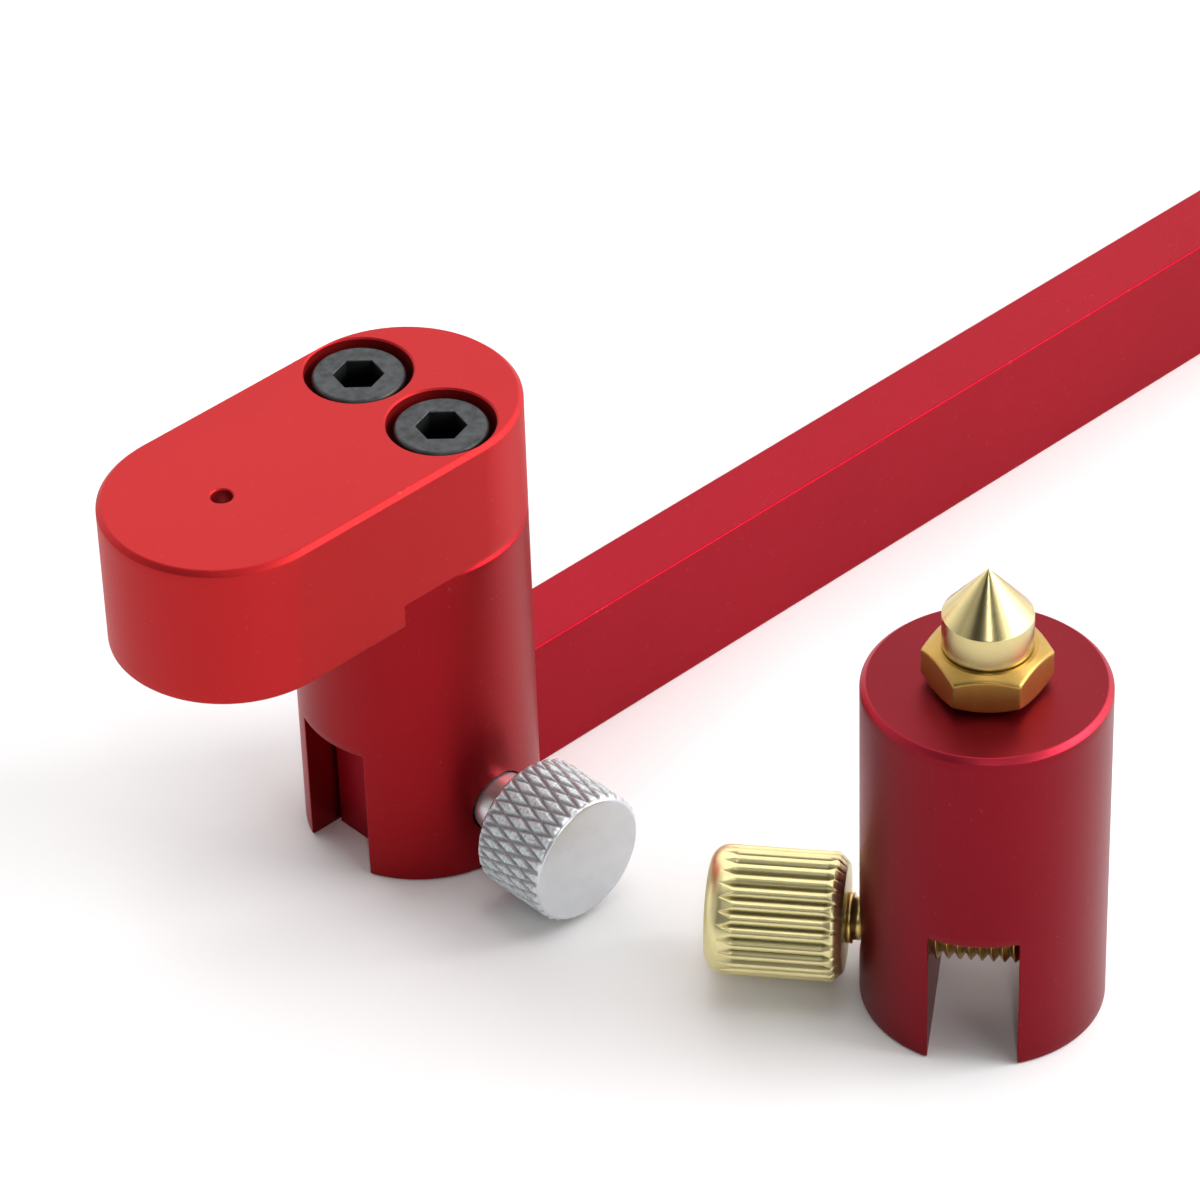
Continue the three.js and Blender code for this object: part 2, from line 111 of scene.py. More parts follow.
def ring_skin(name, rings, place=None):
    """A closed skin over rings of points, lowest ring first, each running counterclockwise. A square
    joins each point to the next one of its ring and to the two above them."""
    rings = np.asarray(rings)
    rows, columns = rings.shape[:2]
    row, column = np.meshgrid(np.arange(rows - 1), np.arange(columns), indexing="ij")
    here = row * columns + column
    beside = row * columns + (column + 1) % columns
    faces = np.stack([here, beside, beside + columns, here + columns], axis=-1).reshape(-1, 4).tolist()
    faces.append(list(range(columns))[::-1])
    faces.append(list(range((rows - 1) * columns, rows * columns)))
    return mesh_piece(name, rings, faces, place)


def softened(profile, size=BROKEN_EDGE):
    """A profile with each inner corner rounded: its corner p gives way to p + a, the middle of the curve
    and p + b, where a and b point along its two sides. The middle is p + (a + b) / 4."""
    profile = np.asarray(profile, dtype=float)
    before, corner, after = profile[:-2], profile[1:-1], profile[2:]
    sides = []
    for other in (before, after):
        length = np.linalg.norm(other - corner, axis=1, keepdims=True)
        sides.append((other - corner) / length * np.minimum(size, length * 0.4))
    middle = corner + (sides[0] + sides[1]) / 4
    inner = np.stack([corner + sides[0], middle, corner + sides[1]], axis=1).reshape(-1, 2)
    return np.vstack([profile[:1], inner, profile[-1:]])


def turned(name, profile, place, columns=COLUMNS, radius_at=None):
    """A turned piece about Z. x = r cos a and y = r sin a, for each (r, z) of the profile, which climbs
    in z. radius_at(angle, radius, height) may change the radius, as a flute or a knurl does."""
    profile = np.asarray(profile, dtype=float)
    angle = np.linspace(0, 2 * np.pi, columns, endpoint=False)[None, :]
    radius = np.repeat(profile[:, :1], columns, axis=1)
    height = np.repeat(profile[:, 1:], columns, axis=1)
    if radius_at is not None:
        radius = radius_at(angle, radius, height)
    rings = np.stack([radius * np.cos(angle), radius * np.sin(angle), height], axis=-1)
    return ring_skin(name, rings, place)


# %% [markdown]
# ## Cutting and easing
# A milled slot is a boolean cut, whose knife edges a narrow bevel breaks, as a file does. Holes are
# drilled after that, with a cutter that is flared at its mouth, as a countersink is. Face-weighted
# normals then keep the flats flat beside their rounded edges.

# %% Helpers that cut and ease
def apply_modifiers(piece):
    """Turns what the modifiers show into the piece's own mesh."""
    graph = bpy.context.evaluated_depsgraph_get()
    mesh = bpy.data.meshes.new_from_object(piece.evaluated_get(graph))
    piece.modifiers.clear()
    old = piece.data
    piece.data = mesh
    bpy.data.meshes.remove(old)
    return piece


def boolean(piece, others):
    """Cuts the other solids out of the piece, one after another, and removes them."""
    for other in others:
        step = piece.modifiers.new("cut", "BOOLEAN")
        step.operation = "DIFFERENCE"
        step.solver = "EXACT"
        step.object = other
        apply_modifiers(piece)
        bpy.data.objects.remove(other)
    return piece


def drill(radius, low, high, place, flare=BROKEN_EDGE):
    """A cutter for a hole that opens at its high end, where it widens by the flare."""
    profile = [(radius, low), (radius, high - flare), (radius + flare + OVERRUN, high + OVERRUN)]
    return turned("drill", profile, place)


def ease(piece, width=BROKEN_EDGE, angle=32, segments=2):
    """Rounds every edge sharper than the angle, in degrees."""
    bevel = piece.modifiers.new("ease", "BEVEL")
    bevel.width = width
    bevel.segments = segments
    bevel.limit_method = "ANGLE"
    bevel.angle_limit = np.radians(angle)
    bevel.use_clamp_overlap = False
    return apply_modifiers(piece)


def dress(piece, node, body, material, crisp=38):
    """Smooths a finished piece but for its crisp edges, gives it its material and puts it in its node's
    place."""
    piece.data.shade_smooth()
    if crisp:
        piece.data.set_sharp_from_angle(angle=np.radians(crisp))
    weight = piece.modifiers.new("weight", "WEIGHTED_NORMAL")
    weight.weight = 80
    weight.keep_sharp = True
    apply_modifiers(piece)
    piece.data.materials.clear()
    piece.data.materials.append(material)
    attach(piece, body)
    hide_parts(node)
    print(piece.name, "has", len(piece.data.polygons), "faces")
    return piece


# %% [markdown]
# ## Helpers for finishes
# A finish is a small graph of nodes. Noise gives the grain, and a turned surface has rings, which are
# noise along the radius and the height of its own axis. The graph is written as nested calls, so that
# each material reads as a recipe.

# %% Node helpers
class Recipe:
    """A material and short calls that add its nodes."""

    def __init__(self, name):
        self.material = bpy.data.materials.new(name)
        self.material.use_nodes = True
        self.tree = self.material.node_tree
        self.shader = self.tree.nodes["Principled BSDF"]

    def node(self, kind, inputs=(), **settings):
        """A node with its settings, and inputs by name or number: a socket is linked, a value is set."""
        made = self.tree.nodes.new(kind)
        for key, value in settings.items():
            setattr(made, key, value)
        for key, value in dict(inputs).items():
            if isinstance(value, bpy.types.NodeSocket):
                self.tree.links.new(value, made.inputs[key])
            else:
                made.inputs[key].default_value = value
        return made

    def place(self):
        """The object coordinates, which are the frame's own metres."""
        return self.node("ShaderNodeTexCoord").outputs["Object"]

    def noise(self, vector, scale, detail=2.0, roughness=0.5):
        """Noise in 0 to 1. The scale is in waves per metre."""
        made = self.node("ShaderNodeTexNoise", {"Vector": vector, "Scale": scale, "Detail": detail,
                                                "Roughness": roughness})
        return made.outputs["Fac"]

    def math(self, operation, first, second):
        """One sum, difference or product of two values."""
        return self.node("ShaderNodeMath", {0: first, 1: second}, operation=operation).outputs[0]

    def ramp(self, value, low, high, to_low=0.0, to_high=1.0):
        """The value's range low to high, drawn out to another range and held there."""
        made = self.node("ShaderNodeMapRange", {"Value": value, "From Min": low, "From Max": high,
                                                "To Min": to_low, "To Max": to_high})
        return made.outputs["Result"]

    def mix(self, share, first, second):
        """The colour first * (1 - share) + second * share."""
        made = self.node("ShaderNodeMix", data_type="RGBA")
        for socket, value in zip((made.inputs[0], made.inputs[6], made.inputs[7]), (share, first, second)):
            if isinstance(value, bpy.types.NodeSocket):
                self.tree.links.new(value, socket)
            else:
                socket.default_value = value
        return made.outputs[2]

    def stretched(self, vector, scale):
        """The place times a scale on each axis. A scale below 1 draws a pattern out along its axis."""
        made = self.node("ShaderNodeMapping", {"Vector": vector, "Scale": scale})
        return made.outputs["Vector"]

    def about_axis(self, place):
        """(radius, height) about the axis of a turned piece that was placed by this matrix. The point is
        carried back into the piece's own frame, where the axis is Z."""
        back = Matrix(place).inverted()
        moved = self.node("ShaderNodeMapping", {"Vector": self.place(), "Location": back.to_translation(),
                                                "Rotation": back.to_euler()}).outputs["Vector"]
        parts = self.node("ShaderNodeSeparateXYZ", {"Vector": moved}).outputs
        across = self.node("ShaderNodeCombineXYZ", {"X": parts["X"], "Y": parts["Y"]}).outputs[0]
        radius = self.node("ShaderNodeVectorMath", {0: across}, operation="LENGTH").outputs["Value"]
        return radius, parts["Z"]

    def rings(self, place, scale, share_of_height=1.0):
        """Fine turned rings: one-dimensional noise along the radius and the height of the piece."""
        radius, height = self.about_axis(place)
        along = self.math("ADD", radius, self.math("MULTIPLY", height, share_of_height))
        made = self.node("ShaderNodeTexNoise", {"W": along, "Scale": scale, "Detail": 3.0},
                         noise_dimensions="1D")
        return made.outputs["Fac"]

    def bump(self, height, strength, distance, normal=None):
        """The normal of a surface raised by the height, in 0 to 1, times the distance, on top of another."""
        inputs = {"Height": height, "Strength": strength, "Distance": distance}
        if normal is not None:
            inputs["Normal"] = normal
        return self.node("ShaderNodeBump", inputs).outputs["Normal"]

    def set(self, **values):
        """Sets or links the shader's sockets. base_color stands for Base Color, and so on."""
        for key, value in values.items():
            socket = self.shader.inputs[key.replace("_", " ").title()]
            if isinstance(value, bpy.types.NodeSocket):
                self.tree.links.new(value, socket)
            else:
                socket.default_value = value
        return self.material


def srgb(red, green, blue):
    """A colour from 0 to 255 as a screen shows it, as the linear colour that a shader reads."""
    value = np.array([red, green, blue]) / 255
    linear = np.where(value <= 0.04045, value / 12.92, ((value + 0.055) / 1.055) ** 2.4)
    return (*linear.tolist(), 1.0)


# %% [markdown]
# ## Anodised aluminium
# Anodising dyes the metal's own skin, so the colour belongs to the reflection: the shader is metallic
# with a red base. The arm was blasted before dyeing and is the most matt and the lightest. The beam is
# drawn, so its grain runs lengthwise, and the posts are turned. The dye is never quite even.

# %% Anodised red
def anodised(name, colour, deep, metallic=0.85, roughness=0.4, stretch=(1, 1, 1), ring_place=None,
             chamfer=None):
    """Red anodised aluminium. The colour wanders a little to a deeper one, and the grain is noise. A post's
    top chamfer may be given a paler red, a painted highlight along that edge."""
    recipe = Recipe(name)
    place = recipe.place()
    cloud = recipe.noise(place, 60.0, 3.0)
    fine = recipe.noise(recipe.stretched(place, stretch), 9000.0, 2.0, 0.6)
    specks = recipe.ramp(recipe.noise(place, 2600.0, 0.0), 0.8, 0.84)
    dye_and_highlight = recipe.mix(recipe.ramp(cloud, 0.3, 0.7, 0.0, 0.45), colour, deep)
    dye_and_highlight = recipe.mix(recipe.ramp(fine, 0.25, 0.75, 0.0, 0.3), dye_and_highlight, deep)
    dye_and_highlight = recipe.mix(recipe.math("MULTIPLY", specks, 0.05), dye_and_highlight, srgb(235, 150, 150))
    rough = recipe.ramp(fine, 0.2, 0.8, roughness - 0.04, roughness + 0.06)
    normal = recipe.bump(fine, 0.35, 0.01 * MM)
    if ring_place is not None:
        normal = recipe.bump(recipe.rings(ring_place, 4500.0), 0.12, 0.01 * MM, normal)
    # Painted highlight: the band of the post's top chamfer is coloured paler, as if lit.
    if chamfer is not None:
        radius, height = recipe.about_axis(ring_place)
        low, inner = POST_HEIGHT - POST_CHAMFER, POST_RADIUS - POST_CHAMFER
        edge = recipe.math("MULTIPLY", recipe.ramp(height, low - 0.08 * MM, low + 0.02 * MM),
                           recipe.ramp(radius, inner - 0.1 * MM, inner))
        dye_and_highlight = recipe.mix(edge, dye_and_highlight, chamfer)
    return recipe.set(base_color=dye_and_highlight, roughness=rough, metallic=metallic, normal=normal)


beam_red = anodised("beam_anodised", srgb(159, 14, 34), srgb(144, 11, 29), 0.96, 0.47, stretch=(0.15, 1, 1))
arm_red = anodised("arm_anodised", srgb(180, 33, 36), srgb(172, 29, 32), roughness=0.5)
post_red = anodised("post_anodised", srgb(151, 20, 28), srgb(133, 15, 22), 0.92, 0.4,
                    ring_place=SCRIBING_HEAD)
centre_red = anodised("centre_post_anodised", srgb(126, 17, 30), srgb(110, 13, 25), 0.92, 0.4,
                      # The paler red passed as the chamfer colour is a painted highlight on the loose head's
                      # post.
                      ring_place=CENTRE_HEAD, chamfer=srgb(162, 36, 52))
print("four anodised reds")


# %% [markdown]
# ## The beam
# The beam is a drawn flat bar. Its section is a rectangle with small round corners, carried along X,
# and the two ends are chamfered by drawing the last ring in. A block with a bevel would come close, but
# rings give the drawn corners and the sawn ends each their own size.

# %% Beam
def bar_section(width, height, corner, steps=6):
    """Corner arcs of a rectangle: each point is a corner's centre plus the corner radius at an angle."""
    angle = np.radians(np.linspace(0, 90, steps + 1))[None, :] + np.radians([0, 90, 180, 270])[:, None]
    sides = np.array([(1, 1), (-1, 1), (-1, -1), (1, -1)])[:, None, :]
    middle = sides * (np.array([width, height]) / 2 - corner)
    return (middle + corner * np.stack([np.cos(angle), np.sin(angle)], axis=-1)).reshape(-1, 2)


def beam():
    """The beam's rings at x, with its section in Y and Z."""
    low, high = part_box("beam")
    width, height = high[1] - low[1], high[2] - low[2]
    corner, chamfer = 0.22 * MM, 0.15 * MM
    outline = softened([(chamfer, low[0]), (0, low[0] + chamfer), (0, high[0] - chamfer), (chamfer, high[0])])
    rings = []
    for inset, x in outline:
        section = bar_section(width - 2 * inset, height - 2 * inset, corner - inset)
        rings.append(np.column_stack([np.full(len(section), x), section + mid_of("beam")[1:]]))
    return dress(ring_skin("beam_bar", rings), "beam", "beam", beam_red)


beam()


# %% [markdown]
# ## The two posts
# Each post is a round bar with a slot milled across its foot and a threaded hole through one side. The
# scribing post has a flat at its top for the arm's lip, the centre post a hole for the point. The wall
# has a row of points at each millimetre, so a hole bends the shading only close by. The slot could be
# part of the profile's grid, but cutting it follows the order in which a real post is made.

# %% Slotted posts
SLOT_WIDTH = 8 * MM
SLOT_DEPTH = 14 * MM
LIP_DEPTH = 2.5 * MM
LIP_INSET = 1 * MM
THREAD_RADIUS = 3 * MM
THREAD_GAP = 0.08 * MM
POST_COLUMNS = 192


def stepped(profile, step=1 * MM):
    """A profile with more points on its long sides, none further apart than the step, so that a hole cut
    in a wall bends the shading only round itself."""
    points = [profile[:1]]
    for start, end in zip(profile[:-1], profile[1:]):
        count = int(np.ceil(np.linalg.norm(end - start) / step))
        points.append(start + (end - start) * np.linspace(0, 1, count + 1)[1:, None])
    return np.vstack(points)


def prism(name, corners, low, high, place=None):
    """A prism with these corners, counterclockwise, from one height to another."""
    rings = [[(x, y, height) for x, y in corners] for height in (low, high)]
    return ring_skin(name, rings, place)


def slotted_post(name, place, more_cuts=()):
    """A turned bar with a chamfered top, less the slot, with its edges broken, then drilled for its
    clamp screw."""
    foot, eased, mouth, reach = 0.2 * MM, 0.08 * MM, 0.1 * MM, POST_RADIUS + OVERRUN
    profile = softened([
        (POST_RADIUS - foot, 0), (POST_RADIUS, foot), (POST_RADIUS, POST_HEIGHT - POST_CHAMFER),
        (POST_RADIUS - POST_CHAMFER, POST_HEIGHT), (POST_RADIUS / 2, POST_HEIGHT),
    ], eased)
    post = turned(name, stepped(profile[:-1]), place, POST_COLUMNS)
    half = SLOT_WIDTH / 2
    sides = [(-reach, -half), (reach, -half), (reach, half), (-reach, half)]
    slot = prism("slot", sides, -OVERRUN, SLOT_DEPTH, place)
    ease(boolean(post, [slot, *more_cuts]))
    return boolean(post, [drill(THREAD_RADIUS + THREAD_GAP, 0, POST_RADIUS, place @ OUT_OF_POST, mouth)])


def scriber_post():
    """The scribing post, with a flat for the arm's lip."""
    wall, reach = POST_RADIUS - LIP_INSET - FIT_GAP, POST_RADIUS + OVERRUN
    sides = [(-reach, -reach), (-wall, -reach), (-wall, reach), (-reach, reach)]
    flat = prism("flat", sides, POST_HEIGHT - LIP_DEPTH - FIT_GAP, POST_HEIGHT + OVERRUN)
    piece = slotted_post("scriber_post_bar", SCRIBING_HEAD, [flat])
    return dress(piece, "scriber_post", "scriber_head", post_red)


def centre_post():
    """The loose head's post, with the hole that the point screws into."""
    hole_floor = 24 * MM
    piece = slotted_post("centre_post_bar", CENTRE_HEAD)
    boolean(piece, [drill(THREAD_RADIUS + FIT_GAP, hole_floor, POST_HEIGHT, CENTRE_HEAD)])
    return dress(piece, "centre_post", "centre_head", centre_red)


scriber_post()
centre_post()


# %% [markdown]
# ## The arm
# Seen from above, the arm is two half circles joined by straight sides. Rings of that outline, drawn in
# a little at the top and bottom, make the slab with its chamfer. The pocket over the post is milled out
# and its edges are broken, then the two counterbored holes, the pencil bore and the grub screw's hole
# are drilled. Two discs and a block could be joined instead, but one outline leaves no seams to hide.

# %% Arm
ARM_REACH = 20.7 * MM  # from the post's axis to the lead hole
ARM_BASE = POST_HEIGHT + SEAM_GAP
ARM_TOP = 47.2 * MM
SCREW_OFFSET = 5.5 * MM
SCREW_SEAT = 41.7 * MM
GRUB_HEIGHT = 37.6 * MM
LEAD_RADIUS = 1 * MM
PENCIL_RADIUS = 4.1 * MM


def arm_outline(inset, steps=96):
    """Half circles about the post's axis and the lead hole: x = centre + r cos a, y = r sin a."""
    radius = POST_RADIUS - inset
    angle = np.radians(np.linspace(-90, 90, steps + 1))
    right = np.stack([radius * np.cos(angle), radius * np.sin(angle)], axis=-1)
    left = np.stack([-ARM_REACH - radius * np.cos(angle), -radius * np.sin(angle)], axis=-1)
    return np.vstack([right, left])


def arm_slab():
    """The arm before it is drilled."""
    top, foot, bottom = 0.45 * MM, 0.3 * MM, ARM_BASE - LIP_DEPTH
    edge = softened([(foot, bottom), (0, bottom + foot), (0, ARM_TOP - top), (top, ARM_TOP)], 0.1 * MM)
    rings = []
    for inset, height in stepped(edge):
        outline = arm_outline(inset)
        rings.append(np.column_stack([outline, np.full(len(outline), height)]))
    lip, reach = LIP_INSET - POST_RADIUS, POST_RADIUS + OVERRUN
    sides = [(lip, -reach), (reach, -reach), (reach, reach), (lip, reach)]
    pocket = prism("pocket", sides, bottom - OVERRUN, ARM_BASE)
    return ease(boolean(ring_skin("scriber_arm_slab", rings), [pocket]), 0.1 * MM)


def scriber_arm():
    """The slab, drilled: a clearance hole and a counterbore for each cap screw, the pencil bore that
    narrows to the lead hole as a cone, and the grub screw's hole from the side."""
    clearance, counterbore, rim, grub_hole = 2.8 * MM, 4.95 * MM, 0.15 * MM, 2.3 * MM
    cone_foot, cone_top, lead_foot = 41.5 * MM, 45.7 * MM, 45 * MM
    drills = []
    for side in (-1, 1):
        seat = Matrix.Translation((0, side * SCREW_OFFSET, 0))
        drills.append(drill(clearance, ARM_BASE - OVERRUN, SCREW_SEAT, seat))
        drills.append(drill(counterbore, SCREW_SEAT, ARM_TOP, seat, rim))
    lead = Matrix.Translation((-ARM_REACH, 0, 0))
    bore = [(PENCIL_RADIUS, ARM_BASE - LIP_DEPTH - OVERRUN), (PENCIL_RADIUS, cone_foot),
            (LEAD_RADIUS, cone_top)]
    drills.append(turned("bore", bore, lead))
    drills.append(drill(LEAD_RADIUS, lead_foot, ARM_TOP, lead))
    side_hole = Matrix.Translation((-ARM_REACH, 0, GRUB_HEIGHT)) @ Matrix.Rotation(-np.pi / 2, 4, "X")
    drills.append(drill(grub_hole, 0, POST_RADIUS, side_hole))
    piece = boolean(arm_slab(), drills)
    return dress(piece, "scriber_arm", "scriber_head", arm_red)


scriber_arm()


# %% [markdown]
# ## Black steel
# The screws are blackened steel: dark, and faintly mottled by the oil and the oxide. Black paint would
# look flat, so the shader stays metallic with a dark base. Hardly any light gets down a socket, so shade
# is painted into the colour there, darker with the depth.

# %% Black steel
def black_steel():
    """Black oxide: a dark grey metal with cloudy patches and a soft grain. The attribute sunk is how
    deep a place lies in a socket, where hardly any light gets; there the colour is painted shade."""
    recipe = Recipe("black_steel")
    place = recipe.place()
    patches = recipe.noise(place, 900.0, 4.0, 0.65)
    grain = recipe.noise(place, 14000.0, 2.0)
    colour = recipe.mix(recipe.ramp(patches, 0.35, 0.7), srgb(74, 76, 77), srgb(54, 56, 57))
    sunk = recipe.node("ShaderNodeAttribute", attribute_name="sunk").outputs["Fac"]
    # Painted shade: the deeper a place lies in the socket, the closer its colour goes to black.
    colour = recipe.mix(recipe.ramp(sunk, 0.0, 0.7), colour, (0.002, 0.002, 0.002, 1))
    rough = recipe.ramp(patches, 0.3, 0.75, 0.4, 0.58)
    return recipe.set(base_color=colour, metallic=0.85, roughness=rough,
                      normal=recipe.bump(grain, 0.4, 0.01 * MM))


blackened = black_steel()
print("one black steel")


# %% [markdown]
# ## The three screws
# Two cap screws hold the arm on the post, and a grub screw grips the pencil. What shows of them is a
# turned end with a hexagonal socket, so a profile is carried round, the socket is cut out of it, and
# each point keeps how deep it lies in the socket.

# %% Cap screws and grub screw
def hexagon(name, across, levels, place, turn):
    """A six-sided bar whose flats face +X and -X before the turn. Each level is a height and how much
    wider the hexagon is there."""
    angle = np.radians(np.arange(6) * 60 + 30) + turn
    unit = np.stack([np.cos(angle), np.sin(angle)], axis=-1) / np.sqrt(3)
    rings = [np.column_stack([unit * (across + wider), np.full(6, height)]) for height, wider in levels]
    return ring_skin(name, rings, place)


def socket_screw(piece_names, body, place, profile, across, depth, top, turn=0.0):
    """A turned screw with a six-sided socket sunk in its end. A point's depth is its distance below the
    end over the socket's depth, held to 0 to 1, and 0 outside the socket."""
    name, node = piece_names
    flare = 0.06 * MM
    screw = turned(name, profile, place)
    levels = [(top - depth, 0), (top - flare, 0), (top + OVERRUN, 2 * (flare + OVERRUN))]
    boolean(screw, [hexagon("socket", across, levels, place, turn)])
    dress(screw, node, body, blackened)
    back = np.array(Matrix(place).inverted())
    points = np.array([tuple(vertex.co) for vertex in screw.data.vertices]) @ back[:3, :3].T + back[:3, 3]
    inside = np.hypot(points[:, 0], points[:, 1]) < 0.6 * across
    sunk = np.clip((top - points[:, 2]) / depth, 0, 1) * inside
    # This depth is what the black steel uses to paint shade into the socket.
    screw.data.attributes.new("sunk", "FLOAT", "POINT").data.foreach_set("value", sunk)
    print(name, "has", int(np.sum(sunk > 0)), "points in its socket")
    return screw


def cap_screws():
    """Two cap screws, sunk in the arm."""
    head, shank, rim, seat = 4.25 * MM, 2.5 * MM, 0.25 * MM, SCREW_SEAT + SEAM_GAP
    top, tip = seat + 5 * MM, seat - 16 * MM
    across, depth, turn = 4 * MM, 2.6 * MM, np.radians(-13.3)
    profile = softened([(shank - rim, tip), (shank, tip + rim), (shank, seat), (head, seat),
                        (head, top - rim), (head - rim, top), (shank, top)])[:-1]
    for node, side in (("arm_screw_near", -1), ("arm_screw_far", 1)):
        place = Matrix.Translation((0, side * SCREW_OFFSET, 0))
        socket_screw((node + "_turned", node), "scriber_head", place, profile, across, depth, top, turn)


def grub_screw():
    """The pencil's grub screw, in the arm's side away from the clamp screw."""
    radius, length, chamfer, sunk = 2 * MM, 6 * MM, 0.3 * MM, 0.6 * MM
    across, depth = 2 * MM, 2.2 * MM
    place = Matrix.Translation((-ARM_REACH, POST_RADIUS - sunk - length, GRUB_HEIGHT))
    profile = softened([(radius - chamfer, 0), (radius, chamfer), (radius, length - chamfer),
                        (radius - chamfer, length)])
    socket_screw(("pencil_grub_screw_turned", "pencil_grub_screw"), "grub_screw",
                 place @ Matrix.Rotation(-np.pi / 2, 4, "X"), profile, across, depth, length)


cap_screws()
grub_screw()


# %% [markdown]
# ## Bright steel and brass
# Both are bare turned metal. Steel is neutral and brass is a pale yellow, greener where it is thin. The
# roots of a thread and of a knob's grooves get painted shade. Rings follow the tool that turned them. A
# texture could be wrapped round, but noise along the radius and the height has no seam.

# %% Bare metals
def bare_metal(name, colour, dull, place, roughness, ringed, grooves=None, groove_shade=0.8, grain=0.0,
               metallic=1.0):
    """Turned metal about the axis of the piece's own frame. grooves are the radii at a groove's bottom and
    crest, between which the colour goes from a painted shade to clean metal, and the heights between which
    there are grooves. ringed is how much the turned rings show, and groove_shade how dark that shade is.
    With grain, the knurled band is crushed: its lands are paler, and all of it is pitted and duller."""
    recipe = Recipe(name)
    here = recipe.place()
    rings = recipe.rings(place, 6000.0, 1.13)
    patches = recipe.noise(here, 500.0, 4.0, 0.6)
    tint = recipe.mix(recipe.ramp(patches, 0.35, 0.75, 0.0, 0.3), colour, dull)
    tint = recipe.mix(recipe.ramp(rings, 0.3, 0.7, 0.0, ringed), tint, dull)
    rough = recipe.ramp(rings, 0.25, 0.75, roughness - 0.2 * ringed, roughness + 0.3 * ringed)
    normal = recipe.bump(rings, 0.3 * ringed, 0.012 * MM)
    if grooves is not None:
        bottom, crest, start, end = [value * MM for value in grooves]
        radius, height = recipe.about_axis(place)
        among = recipe.math("MULTIPLY", recipe.ramp(height, start, start + 0.3 * MM),
                            recipe.ramp(height, end - 0.3 * MM, end, 1.0, 0.0))
        # A near-black colour: painted shade for the roots of the grooves, and the dark of the knurl's crushed
        # pits.
        shade_and_pit_colour = recipe.mix(0.8, dull, (0.01, 0.01, 0.01, 1))
        # Painted shade: the colour darkens towards a groove's bottom, where light hardly reaches.
        deep = recipe.ramp(radius, bottom, crest, groove_shade, 0.0)
        tint = recipe.mix(recipe.math("MULTIPLY", deep, among), tint, shade_and_pit_colour)
        if grain:
            crushed = recipe.noise(here, 3600.0, 3.0, 0.65)
            land = recipe.math("MULTIPLY", recipe.ramp(radius, crest - 0.12 * MM, crest, 0.0, grain), among)
            pale = (0.64, 0.83, 0.83, 1)
            tint = recipe.mix(recipe.math("MULTIPLY", land, 0.5), tint, pale)
            rough = recipe.math("ADD", rough, recipe.math("MULTIPLY", land, 0.06))
            pits = recipe.math("MULTIPLY", recipe.ramp(crushed, 0.3, 0.46, 0.75, 0.0), among)
            tint = recipe.mix(recipe.math("MULTIPLY", pits, grain), tint, shade_and_pit_colour)
            normal = recipe.bump(recipe.math("MULTIPLY", crushed, among), grain, 0.14 * MM, normal)
            metallic = recipe.math("SUBTRACT", metallic, recipe.math("MULTIPLY", among, 0.28 * grain))
    return recipe.set(base_color=tint, metallic=metallic, roughness=rough, normal=normal)


STEEL_AXIS = OUT_OF_POST
BRASS_AXIS = CENTRE_HEAD @ OUT_OF_POST
# The grooves paint shade: over the steel stud's whole thread, which lies in the post's hole, and in the roots
# of the knurl, the flutes and the brass thread.
bright_steel = bare_metal("bright_steel", srgb(224, 223, 225), srgb(180, 181, 184), STEEL_AXIS, 0.26, 0.02,
                          grooves=(3.0, 3.6, 3.0, 10.4), groove_shade=1.0, metallic=0.8)
knurled_steel = bare_metal("knurled_steel", srgb(209, 211, 215), srgb(178, 181, 185), STEEL_AXIS, 0.22, 0.04,
                           grooves=(6.14, 6.38, 14.9, 22.5), groove_shade=0.65, grain=0.9, metallic=0.62)
knob_brass = bare_metal("knob_brass", srgb(230, 219, 164), srgb(208, 195, 134), BRASS_AXIS, 0.36, 0.03,
                        grooves=(5.38, 5.68, 12.6, 23.2), groove_shade=0.9, metallic=0.92)
stud_brass = bare_metal("stud_brass", srgb(224, 196, 126), srgb(164, 124, 68), BRASS_AXIS, 0.34, 0.02,
                        grooves=(2.4, 2.8, -4.0, 10.5), groove_shade=0.4)
nut_brass = bare_metal("nut_brass", srgb(182, 146, 76), srgb(120, 88, 48), CENTRE_HEAD, 0.34, 0.04,
                       metallic=0.92)
point_brass = bare_metal("point_brass", srgb(206, 191, 138), srgb(182, 164, 112), CENTRE_HEAD, 0.25, 0.03)
print("six bare metals")


# %% [markdown]
# ## Threads
# A thread is a surface over angle and height. Its depth is a triangle wave of height, and the wave
# climbs one pitch in each turn, so the ridge is a helix. Near both ends the crest fades into a chamfer,
# which is why it isn't a strip swept round by a Screw modifier: such a strip ends in a step.

# %% Threaded length
THREAD_DEPTH = 0.6 * MM
THREAD_PITCH = 1 * MM
LEDGE = 0.01 * MM  # how far a profile climbs across a flat face, since it has to climb


def thread_radius(start, end):
    """Radius of a right-hand thread: the triangle wave of height over pitch less the turn made. The wave
    is drawn out by a little and cut off at 0 and 1, so that crest and root are flat."""
    def radius_at(angle, radius, height):
        phase = (height / THREAD_PITCH - angle / (2 * np.pi)) % 1
        wave = np.abs(2 * phase - 1)
        crest = np.clip(wave * 1.18 - 0.06, 0, 1)
        threaded = THREAD_RADIUS - THREAD_DEPTH * (1 - crest)
        limit = THREAD_RADIUS - THREAD_DEPTH + np.minimum(height - start, end - height)
        inside = (height >= start) & (height <= end)
        return np.where(inside, np.minimum(threaded, limit), radius)
    return radius_at


def threaded_profile(start, end, rows_a_turn=16):
    """Rows of a profile up a threaded length, close enough to draw its flanks."""
    count = int((end - start) / THREAD_PITCH * rows_a_turn)
    return np.column_stack([np.full(count + 1, THREAD_RADIUS), np.linspace(start, end, count + 1)])


print("a thread is", 2 * THREAD_RADIUS / MM, "mm across and climbs", THREAD_PITCH / MM, "mm a turn")


